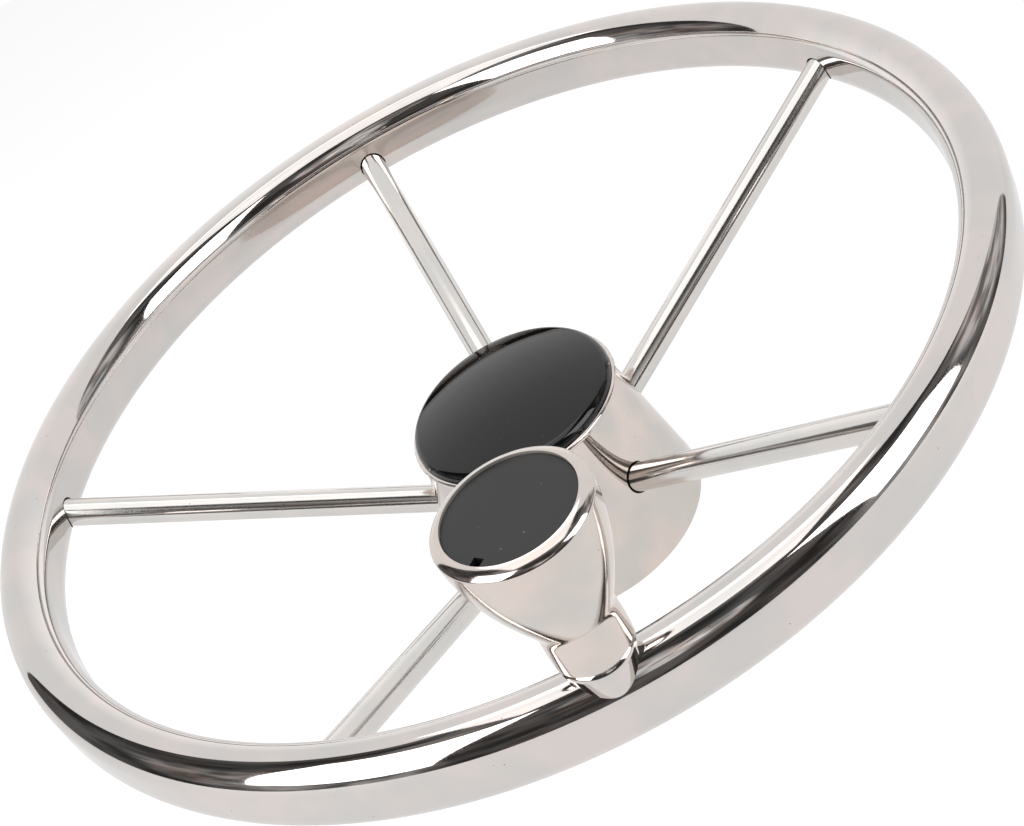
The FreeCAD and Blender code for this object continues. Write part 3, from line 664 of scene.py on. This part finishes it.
# %% Centre cap
CAP_EDGE = 34.9
EDGE_TOP = 54.25
SHOULDER = 3.4
CROWN_RADIUS = 120.0
CAP_WALL = 2.0
SKIRT_CLEARANCE = 0.5
SKIRT = inner_top[0] - SKIRT_CLEARANCE
SKIRT_INNER = SKIRT - CAP_WALL
SKIRT_END = 45.7
RING_HEIGHT = 49.0
RING_CLEARANCE = 0.1
GROOVE_DEPTH = 0.9
GROOVE_PLAY = 0.03
CROWN_SINE = (CAP_EDGE - SHOULDER) / (CROWN_RADIUS - SHOULDER)
CROWN_COSINE = math.sqrt(1 - CROWN_SINE ** 2)
CAP_TOP = EDGE_TOP + CROWN_RADIUS - (CROWN_RADIUS - SHOULDER) * CROWN_COSINE
GROOVE_FLOOR = SKIRT - GROOVE_DEPTH
RING_SECTION = shell_inside(RING_HEIGHT) - RING_CLEARANCE - GROOVE_FLOOR - GROOVE_PLAY
GROOVE_HALF = RING_SECTION / 2 + GROOVE_PLAY
CEILING_RADIUS = CROWN_RADIUS - CAP_WALL
crown_edge = (CAP_EDGE - SHOULDER + SHOULDER * CROWN_SINE, EDGE_TOP + SHOULDER * CROWN_COSINE)
CEILING_CENTRE = CAP_TOP - CROWN_RADIUS
ceiling_edge = (SKIRT_INNER, CEILING_CENTRE + math.sqrt(CEILING_RADIUS ** 2 - SKIRT_INNER ** 2))
groove_low, groove_high = RING_HEIGHT - GROOVE_HALF, RING_HEIGHT + GROOVE_HALF
cap_outline = (
    arc((0.0, CAP_TOP - CAP_WALL), ceiling_edge, CEILING_RADIUS, -1, 10)
    + [ceiling_edge, (SKIRT_INNER, SKIRT_END), (SKIRT, SKIRT_END), (SKIRT, groove_low),
       (GROOVE_FLOOR, groove_low), (GROOVE_FLOOR, groove_high), (SKIRT, groove_high), (SKIRT, LIP_FLOOR)]
    + run((CAP_EDGE, LIP_FLOOR), (CAP_EDGE, EDGE_TOP), 3)
    + arc((CAP_EDGE, EDGE_TOP), crown_edge, SHOULDER, 1, 24)
    + arc(crown_edge, (0.0, CAP_TOP), CROWN_RADIUS, 1, 32) + [(0.0, CAP_TOP)])
cap = new_object("centre_cap_dome", turned("centre_cap_dome", cap_outline))
finish_piece(cap, gloss_black, "wheel", ["centre_cap"])

# %% [markdown]
# The knob's foot is a tapered cup that sits astride the rim. Its lower edge follows the tube: low on
# the two sides and high along the ring. It is turned like the rest, but with an outline of its own at
# each angle, whose lowest point is found by halving until it lies on the oval tube.

# %% Knob foot
FOOT_LOW, FOOT_HIGH = (6.97, 5.0), (10.4, 17.2)
FOOT_TOP = (8.6, 19.0)
FOOT_ROUND = 1.8
BOLT_BORE = 4.03
COPING_GAP = 0.02
HALVINGS = 40


def rim_top(radius, angle):
    """Height of the rim's surface over its middle plane, at a place round the knob's axis."""
    place = math.hypot(KNOB_AXIS[0] + radius * math.cos(angle), KNOB_AXIS[1] + radius * math.sin(angle))
    across = min(abs(place - RIM_RADIUS) / RIM_HALF_WIDTH, 1.0)
    return RIM_HALF_SIDE + RIM_CROWN * math.sqrt(1 - across ** 2) if across < 1 else -RIM_LIFT


def foot_outline(angle):
    """The foot's outline at an angle: up its side, over its top, down the bore and back under."""
    low, high = 0.0, 1.0
    for _ in range(HALVINGS):
        middle = (low + high) / 2
        radius, height = [a + (b - a) * middle for a, b in zip(FOOT_LOW, FOOT_HIGH)]
        if height < rim_top(radius, angle):
            low = middle
        else:
            high = middle
    edge = tuple(a + (b - a) * high for a, b in zip(FOOT_LOW, FOOT_HIGH))
    under = [(radius, rim_top(radius, angle) + COPING_GAP) for radius, _ in
             run((BOLT_BORE, 0.0), (edge[0], 0.0), 12)]
    bore_top = (BOLT_BORE, FOOT_TOP[1])
    return (run(edge, FOOT_HIGH, 16) + arc(FOOT_HIGH, FOOT_TOP, FOOT_ROUND, 1, 14)
            + run(FOOT_TOP, bore_top, 3) + run(bore_top, under[0]) + under)


foot = new_object("knob_foot_cup", turned("knob_foot_cup", foot_outline, KNOB_AXIS, RIM_LIFT))
finish_piece(foot, mirror_steel, "wheel", ["knob_foot"])

# %% [markdown]
# The knob itself turns on its bolt: a short barrel with a neck, then a bowl that opens like a goblet and
# closes a little at its rounded edge. It is turned and polished as one piece, and its neck is blended
# more softly than in the CAD model, as polishing leaves it. It is hollow, with a bore for the two bushes,
# a cup for the bolt's head and a seat for the insert, so the inner pieces keep their room.

# %% Knob body
BORE = 6.23
BORE_TOP = 44.0
BARREL = 10.6
BARREL_END = 19.4
BARREL_ROUND = 0.35
NECK_BLEND = 8.0
# Radii of the long arcs that swell the barrel, hollow the flare and round the bowl
BARREL_SWELL, FLARE_SWELL, BOWL_SWELL = 90.0, 130.0, 67.0
EDGE_ROUND, CROWN_ROUND = 1.1, 5.4
NECK = (10.521, 29.126)
FLARE = (11.336, 33.158)
BOWL = (16.1, 44.0)
EDGE = (20.545, 65.45)
CROWN = (20.223, 66.228)
OPENING = (INSERT_SEAT_RADIUS, 67.727)
SEAT = 65.378
CUP = 16.35
CUP_SIDE_END = 56.478
CUP_FLOOR = (9.5, BORE_TOP)
barrel_start, barrel_corner = (BARREL - BARREL_ROUND, BARREL_END), (BARREL, BARREL_END + BARREL_ROUND)
outside = (
    run((BORE, BARREL_END), barrel_start, 2) + arc(barrel_start, barrel_corner, BARREL_ROUND, 1, 8)
    + arc(barrel_corner, NECK, BARREL_SWELL, 1, 14) + arc(NECK, FLARE, NECK_BLEND, -1, 20)
    + arc(FLARE, BOWL, FLARE_SWELL, 1, 20) + arc(BOWL, EDGE, BOWL_SWELL, 1, 32)
    + arc(EDGE, CROWN, EDGE_ROUND, 1, 12) + arc(CROWN, OPENING, CROWN_ROUND, 1, 24))
inside = (
    run(OPENING, (OPENING[0], SEAT), 2) + run((OPENING[0], SEAT), (CUP, SEAT))
    + run((CUP, SEAT), (CUP, CUP_SIDE_END)) + run((CUP, CUP_SIDE_END), CUP_FLOOR, 4)
    + run(CUP_FLOOR, (BORE, BORE_TOP)) + run((BORE, BORE_TOP), (BORE, BARREL_END), 4))
goblet = new_object("knob_goblet", turned("knob_goblet", outside + inside, KNOB_AXIS, RIM_LIFT))
finish_piece(goblet, hand_steel, "knob", ["knob_body"])

# %% [markdown]
# The black insert is a moulded disc pressed into the knob's open end, a little below its edge, so the
# polished wall mirrors it all round. It has a small notch for the tool that prises it out.

# %% Insert
INSERT_RADIUS = 17.25
INSERT_HEIGHT = 1.6
INSERT_TOP = SEAT + INSERT_HEIGHT
INSERT_ROUND = 0.15
insert_shoulder = (INSERT_RADIUS, INSERT_TOP - INSERT_ROUND)
insert_rim = (INSERT_RADIUS - INSERT_ROUND, INSERT_TOP)
insert_outline = (
    [(0.0, SEAT)] + run((INSERT_RADIUS, SEAT), insert_shoulder)
    + arc(insert_shoulder, insert_rim, INSERT_ROUND, 1, 4)
    + run(insert_rim, (0.0, INSERT_TOP), 3) + [(0.0, INSERT_TOP)])
NOTCH_ANGLE = KNOB_ANGLE - math.radians(45.0)
NOTCH_SIZE = (5.0, 2.8, 4.0)
NOTCH_DEPTH = 2.9
notch_place = (INSERT_RADIUS - NOTCH_DEPTH + NOTCH_SIZE[0] / 2, 0.0, SEAT + INSERT_HEIGHT / 2)
notch = bpy.data.meshes.new("notch")
work = bmesh.new()
bmesh.ops.create_cube(work, size=1.0)
bmesh.ops.scale(work, vec=[length * MM for length in NOTCH_SIZE], verts=work.verts)
bmesh.ops.translate(work, vec=[x * MM for x in notch_place], verts=work.verts)
bmesh.ops.rotate(work, matrix=Matrix.Rotation(NOTCH_ANGLE, 3, "Z"), verts=work.verts)
bmesh.ops.translate(work, vec=(KNOB_AXIS[0] * MM, KNOB_AXIS[1] * MM, RIM_LIFT * MM), verts=work.verts)
work.to_mesh(notch)
work.free()
disc = turned("insert_disc", insert_outline, KNOB_AXIS, RIM_LIFT)
insert = new_object("knob_insert_disc", cut_away(disc, "knob_insert_disc", new_object("notch", notch)))
finish_piece(insert, satin_black, "knob", ["knob_insert"])

# %% [markdown]
# The pieces inside the hub and the knob hardly show: the bolt, its washers, the two bushes and the
# seal under the cap. Their CAD nodes stay as they are and get the finish of their material.

# %% Finishes of the inner pieces
INNER_FINISHES = {
    "knob_bolt": turned_knob_steel, "knob_thrust_washer": turned_knob_steel,
    "knob_head_washer": turned_knob_steel, "knob_bush_lower": bearing_white,
    "knob_bush_upper": bearing_white, "cap_seal_ring": seal_rubber}
for node, material in INNER_FINISHES.items():
    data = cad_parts[node].data
    data.materials.clear()
    data.materials.append(material)
    print(node, "is", material.name)

# %% [markdown]
# A mirror shows its studio, so the studio is built as carefully as the wheel. The wheel lies on a
# white table with a white wall close behind it. Two upright softboxes stand left and right of the
# camera, a flat lamp hangs overhead, and the rest of the room is dim, which draws the dark bands.
# Surfaces that only the steel should see are hidden from every other kind of ray.

# %% Helpers for the studio
def flat_card(name, corners, material):
    """A four-cornered card of the stage, in millimetres."""
    mesh = bpy.data.meshes.new(name)
    mesh.from_pydata([tuple(x * MM for x in corner) for corner in corners], [], [(0, 1, 2, 3)])
    mesh.materials.append(material)
    card = new_object(name, mesh)
    return card


def seen_only_in_reflections(item):
    """Leaves an object to glossy rays alone, so that it neither hides the view nor lights the scene."""
    for ray in ("camera", "diffuse", "transmission", "volume_scatter", "shadow"):
        setattr(item, f"visible_{ray}", False)


def seen_rays(tree):
    """1 for camera, glossy and transmission rays, and 0 for the rest."""
    path = add_node(tree, "ShaderNodeLightPath").outputs
    pair = add_node(tree, "ShaderNodeMath", {
        0: path["Is Camera Ray"], 1: path["Is Glossy Ray"]}, operation="MAXIMUM")
    return add_node(tree, "ShaderNodeMath", {
        0: pair.outputs[0], 1: path["Is Transmission Ray"]}, operation="MAXIMUM").outputs[0]


# %% [markdown]
# The table's sheet lies a hair below the hub's back face. Its white is made of three parts: a plain pale
# diffuse colour that takes the shadow, a glow that the camera and every mirror see, and a little more
# glow for the camera alone, which makes the background white without more light on the wheel.

# %% White table
TABLE_LEFT, TABLE_RIGHT, TABLE_FRONT, TABLE_BACK, TABLE_HEIGHT = -680, 940, -515, 800, -0.3
TABLE_PALE = 0.38
TABLE_GLOW = 0.57
CAMERA_GLOW = 0.2
table_paint, tree = new_material("white_table")
mirrored = add_node(tree, "ShaderNodeMath", {0: seen_rays(tree), 1: TABLE_GLOW}, operation="MULTIPLY")
camera_ray = add_node(tree, "ShaderNodeLightPath").outputs["Is Camera Ray"]
glow = add_node(tree, "ShaderNodeMath", {
    0: camera_ray, 1: CAMERA_GLOW, 2: mirrored.outputs[0]}, operation="MULTIPLY_ADD")
lift = add_node(tree, "ShaderNodeEmission", {"Strength": glow.outputs[0]})
paper = add_node(tree, "ShaderNodeBsdfDiffuse", {"Color": (TABLE_PALE, TABLE_PALE, TABLE_PALE, 1.0)})
both = add_node(tree, "ShaderNodeAddShader", {0: lift.outputs[0], 1: paper.outputs[0]})
add_node(tree, "ShaderNodeOutputMaterial", {"Surface": both.outputs[0]})
table = flat_card("table", [
    (TABLE_LEFT, TABLE_FRONT, TABLE_HEIGHT), (TABLE_RIGHT, TABLE_FRONT, TABLE_HEIGHT),
    (TABLE_RIGHT, TABLE_BACK, TABLE_HEIGHT), (TABLE_LEFT, TABLE_BACK, TABLE_HEIGHT)], table_paint)
print("table glows", TABLE_GLOW, "for mirrors and", round(TABLE_GLOW + CAMERA_GLOW, 2), "for the camera")

# %% [markdown]
# The wall stands just behind the wheel and is seen only in the steel. Its glow is a painted pool of light:
# brightest in one spot low behind the hub, where the lamps would light it most, and falling off from
# there.

# %% White wall
WALL_LEFT, WALL_RIGHT, WALL_DISTANCE, WALL_FOOT, WALL_TOP = -475, 866, 232, -0.2, 1230
# The painted pool of lamp light on the wall: its centre, the radii where its fade starts and stops, and
# the glow at those radii
PAINTED_LIGHT_SPOT = (-30, WALL_DISTANCE, 50)
PAINTED_LIGHT_RADII = (20, 250)
PAINTED_LIGHT_LEVELS = (1.2, 0.93)
wall_paint, tree = new_material("white_wall")
place = add_node(tree, "ShaderNodeTexCoord").outputs["Object"]
spot = add_node(tree, "ShaderNodeVectorMath", {
    0: place, 1: [x * MM for x in PAINTED_LIGHT_SPOT]}, operation="DISTANCE")
level = map_range(tree, spot.outputs["Value"], [radius * MM for radius in PAINTED_LIGHT_RADII], PAINTED_LIGHT_LEVELS)
wall_glow = add_node(tree, "ShaderNodeEmission", {"Strength": level})
add_node(tree, "ShaderNodeOutputMaterial", {"Surface": wall_glow.outputs[0]})
wall = flat_card("wall", [
    (WALL_LEFT, WALL_DISTANCE, WALL_FOOT), (WALL_RIGHT, WALL_DISTANCE, WALL_FOOT),
    (WALL_RIGHT, WALL_DISTANCE, WALL_TOP), (WALL_LEFT, WALL_DISTANCE, WALL_TOP)], wall_paint)
seen_only_in_reflections(wall)
print("wall stands", WALL_DISTANCE, "mm behind the wheel's axis")

# %% [markdown]
# The rest of the room is a large dim sphere round the wheel. Where its walls, windows and furniture are
# can be read from the dark bands on the rim, so a few lighter parts are given by their direction.
# Noise breaks them up, as the things that stand in a real room do.

# %% Dim room
# Each lighter part of the room: its bearing and height, its half width, all in degrees, and its level
ROOM_PARTS = (
    (78, 24, 26, 0.42), (175, 27, 14.5, 0.7), (-171, 42, 11, 0.45), (-98, 22, 24, 0.2),
    (-123, 0, 22, 0.22), (121, 0, 22, 0.22), (-123, 68, 16, 0.12), (121, 68, 16, 0.12))
ROOM_RADIUS = 2.6
# A part has its full level up to this share of its half width and fades out from there
FULL_SHARE = 0.55
# Three noises: the room's own level, what breaks up its lighter parts, and what tinges it
CLOUD_SCALE, CLOUD_RANGE, CLOUD_LEVELS = 1.3, (0.4, 0.62), (0.03, 0.125)
BLOTCH_SCALE, BLOTCH_RANGE, BLOTCH_SHARES = 2.6, (0.4, 0.6), (0.35, 1.3)
WARM_SCALE, WARM_RANGE, WARM_TINT = 2.2, (0.5, 0.65), "#F4E4DC"
dim_paint, tree = new_material("dim_room")
place = add_node(tree, "ShaderNodeTexCoord").outputs["Object"]
clouds = add_node(tree, "ShaderNodeTexNoise", {"Vector": place, "Scale": CLOUD_SCALE, "Detail": 3.0})
level = map_range(tree, clouds.outputs["Fac"], CLOUD_RANGE, CLOUD_LEVELS)
things = add_node(tree, "ShaderNodeTexNoise", {"Vector": place, "Scale": BLOTCH_SCALE, "Detail": 2.0})
blotches = map_range(tree, things.outputs["Fac"], BLOTCH_RANGE, BLOTCH_SHARES)
direction = add_node(tree, "ShaderNodeVectorMath", {0: place}, operation="NORMALIZE").outputs["Vector"]
for bearing, height, width, brightness in ROOM_PARTS:
    flat = math.cos(math.radians(height))
    towards = (flat * math.sin(math.radians(bearing)), flat * math.cos(math.radians(bearing)),
               math.sin(math.radians(height)))
    nearness = add_node(tree, "ShaderNodeVectorMath", {0: direction, 1: towards}, operation="DOT_PRODUCT")
    fade = [math.cos(math.radians(angle)) for angle in (width, width * FULL_SHARE)]
    part = map_range(tree, nearness.outputs["Value"], fade, (0.0, brightness),
                     interpolation_type="SMOOTHSTEP")
    level = add_node(tree, "ShaderNodeMath", {
        0: blotches, 1: part, 2: level}, operation="MULTIPLY_ADD").outputs[0]
# Some of what stands in the room is brownish, which shows as a warm tinge in the dark reflections
warmth = add_node(tree, "ShaderNodeTexNoise", {"Vector": place, "Scale": WARM_SCALE, "Detail": 1.0})
warm_share = map_range(tree, warmth.outputs["Fac"], WARM_RANGE)
shade = add_node(tree, "ShaderNodeMix", {
    0: warm_share, 6: linear("#FFFFFF"), 7: linear(WARM_TINT)}, data_type="RGBA")
dim_glow = add_node(tree, "ShaderNodeEmission", {"Color": shade.outputs[2], "Strength": level})
add_node(tree, "ShaderNodeOutputMaterial", {"Surface": dim_glow.outputs[0]})
room_mesh = bpy.data.meshes.new("dim_room")
work = bmesh.new()
bmesh.ops.create_uvsphere(work, u_segments=48, v_segments=24, radius=ROOM_RADIUS)
work.to_mesh(room_mesh)
work.free()
room_mesh.materials.append(dim_paint)
room = new_object("dim_room", room_mesh)
seen_only_in_reflections(room)
print("stage:", table.name, wall.name, room.name)

# %% [markdown]
# The lamps are area lights of the size and in the place that the reflections on the rim call for.
# Their light is soft and of one level, so that a colour on the wheel renders about as it is written.

# %% Lamps
def soft_lamp(name, centre, turn, size, brightness):
    """A rectangular lamp, in millimetres and degrees, whose face has the given radiance."""
    data = bpy.data.lights.new(name, "AREA")
    data.shape = "RECTANGLE"
    data.size, data.size_y = (length * MM for length in size)
    data.energy = brightness * math.pi * data.size * data.size_y
    lamp = bpy.data.objects.new(name, data)
    bpy.context.scene.collection.objects.link(lamp)
    lamp.location = [x * MM for x in centre]
    lamp.rotation_euler = [math.radians(angle) for angle in turn]
    lamp.visible_camera = False
    return lamp


SOFTBOX_LEVEL = 3.0
OVERHEAD_LEVEL = 1.25
soft_lamp("left_softbox", (-568.8, -376.1, 491.1), (62.70, 5.38, -45.02), (515, 718), SOFTBOX_LEVEL)
soft_lamp("right_softbox", (704.7, -429.7, 490.8), (62.36, -14.43, 31.15), (584, 743), SOFTBOX_LEVEL)
soft_lamp("overhead_lamp", (22.0, -13.0, 748.0), (0.0, 0.0, 0.0), (532, 664), OVERHEAD_LEVEL)

# %% [markdown]
# The world is white wherever it is seen, and much dimmer as a light. A camera at the side sees it past
# the table's edges, and the steel sees the dim room in front of it. The view transform is Standard,
# which leaves the colours as they are computed.

# %% World and view
LIGHTING_LEVEL = 0.3
SEEN_LEVEL = 1.0
world = bpy.data.worlds.new("white_surroundings")
bpy.context.scene.world = world
world.use_nodes = True
tree = world.node_tree
tree.nodes.clear()
ambient = map_range(tree, seen_rays(tree), (0.0, 1.0), (LIGHTING_LEVEL, SEEN_LEVEL))
sky = add_node(tree, "ShaderNodeBackground", {"Color": (1.0, 1.0, 1.0, 1.0), "Strength": ambient})
add_node(tree, "ShaderNodeOutputWorld", {"Surface": sky.outputs[0]})
bpy.context.scene.view_settings.view_transform = "Standard"
print("world:", world.name, "and view transform:", bpy.context.scene.view_settings.view_transform)
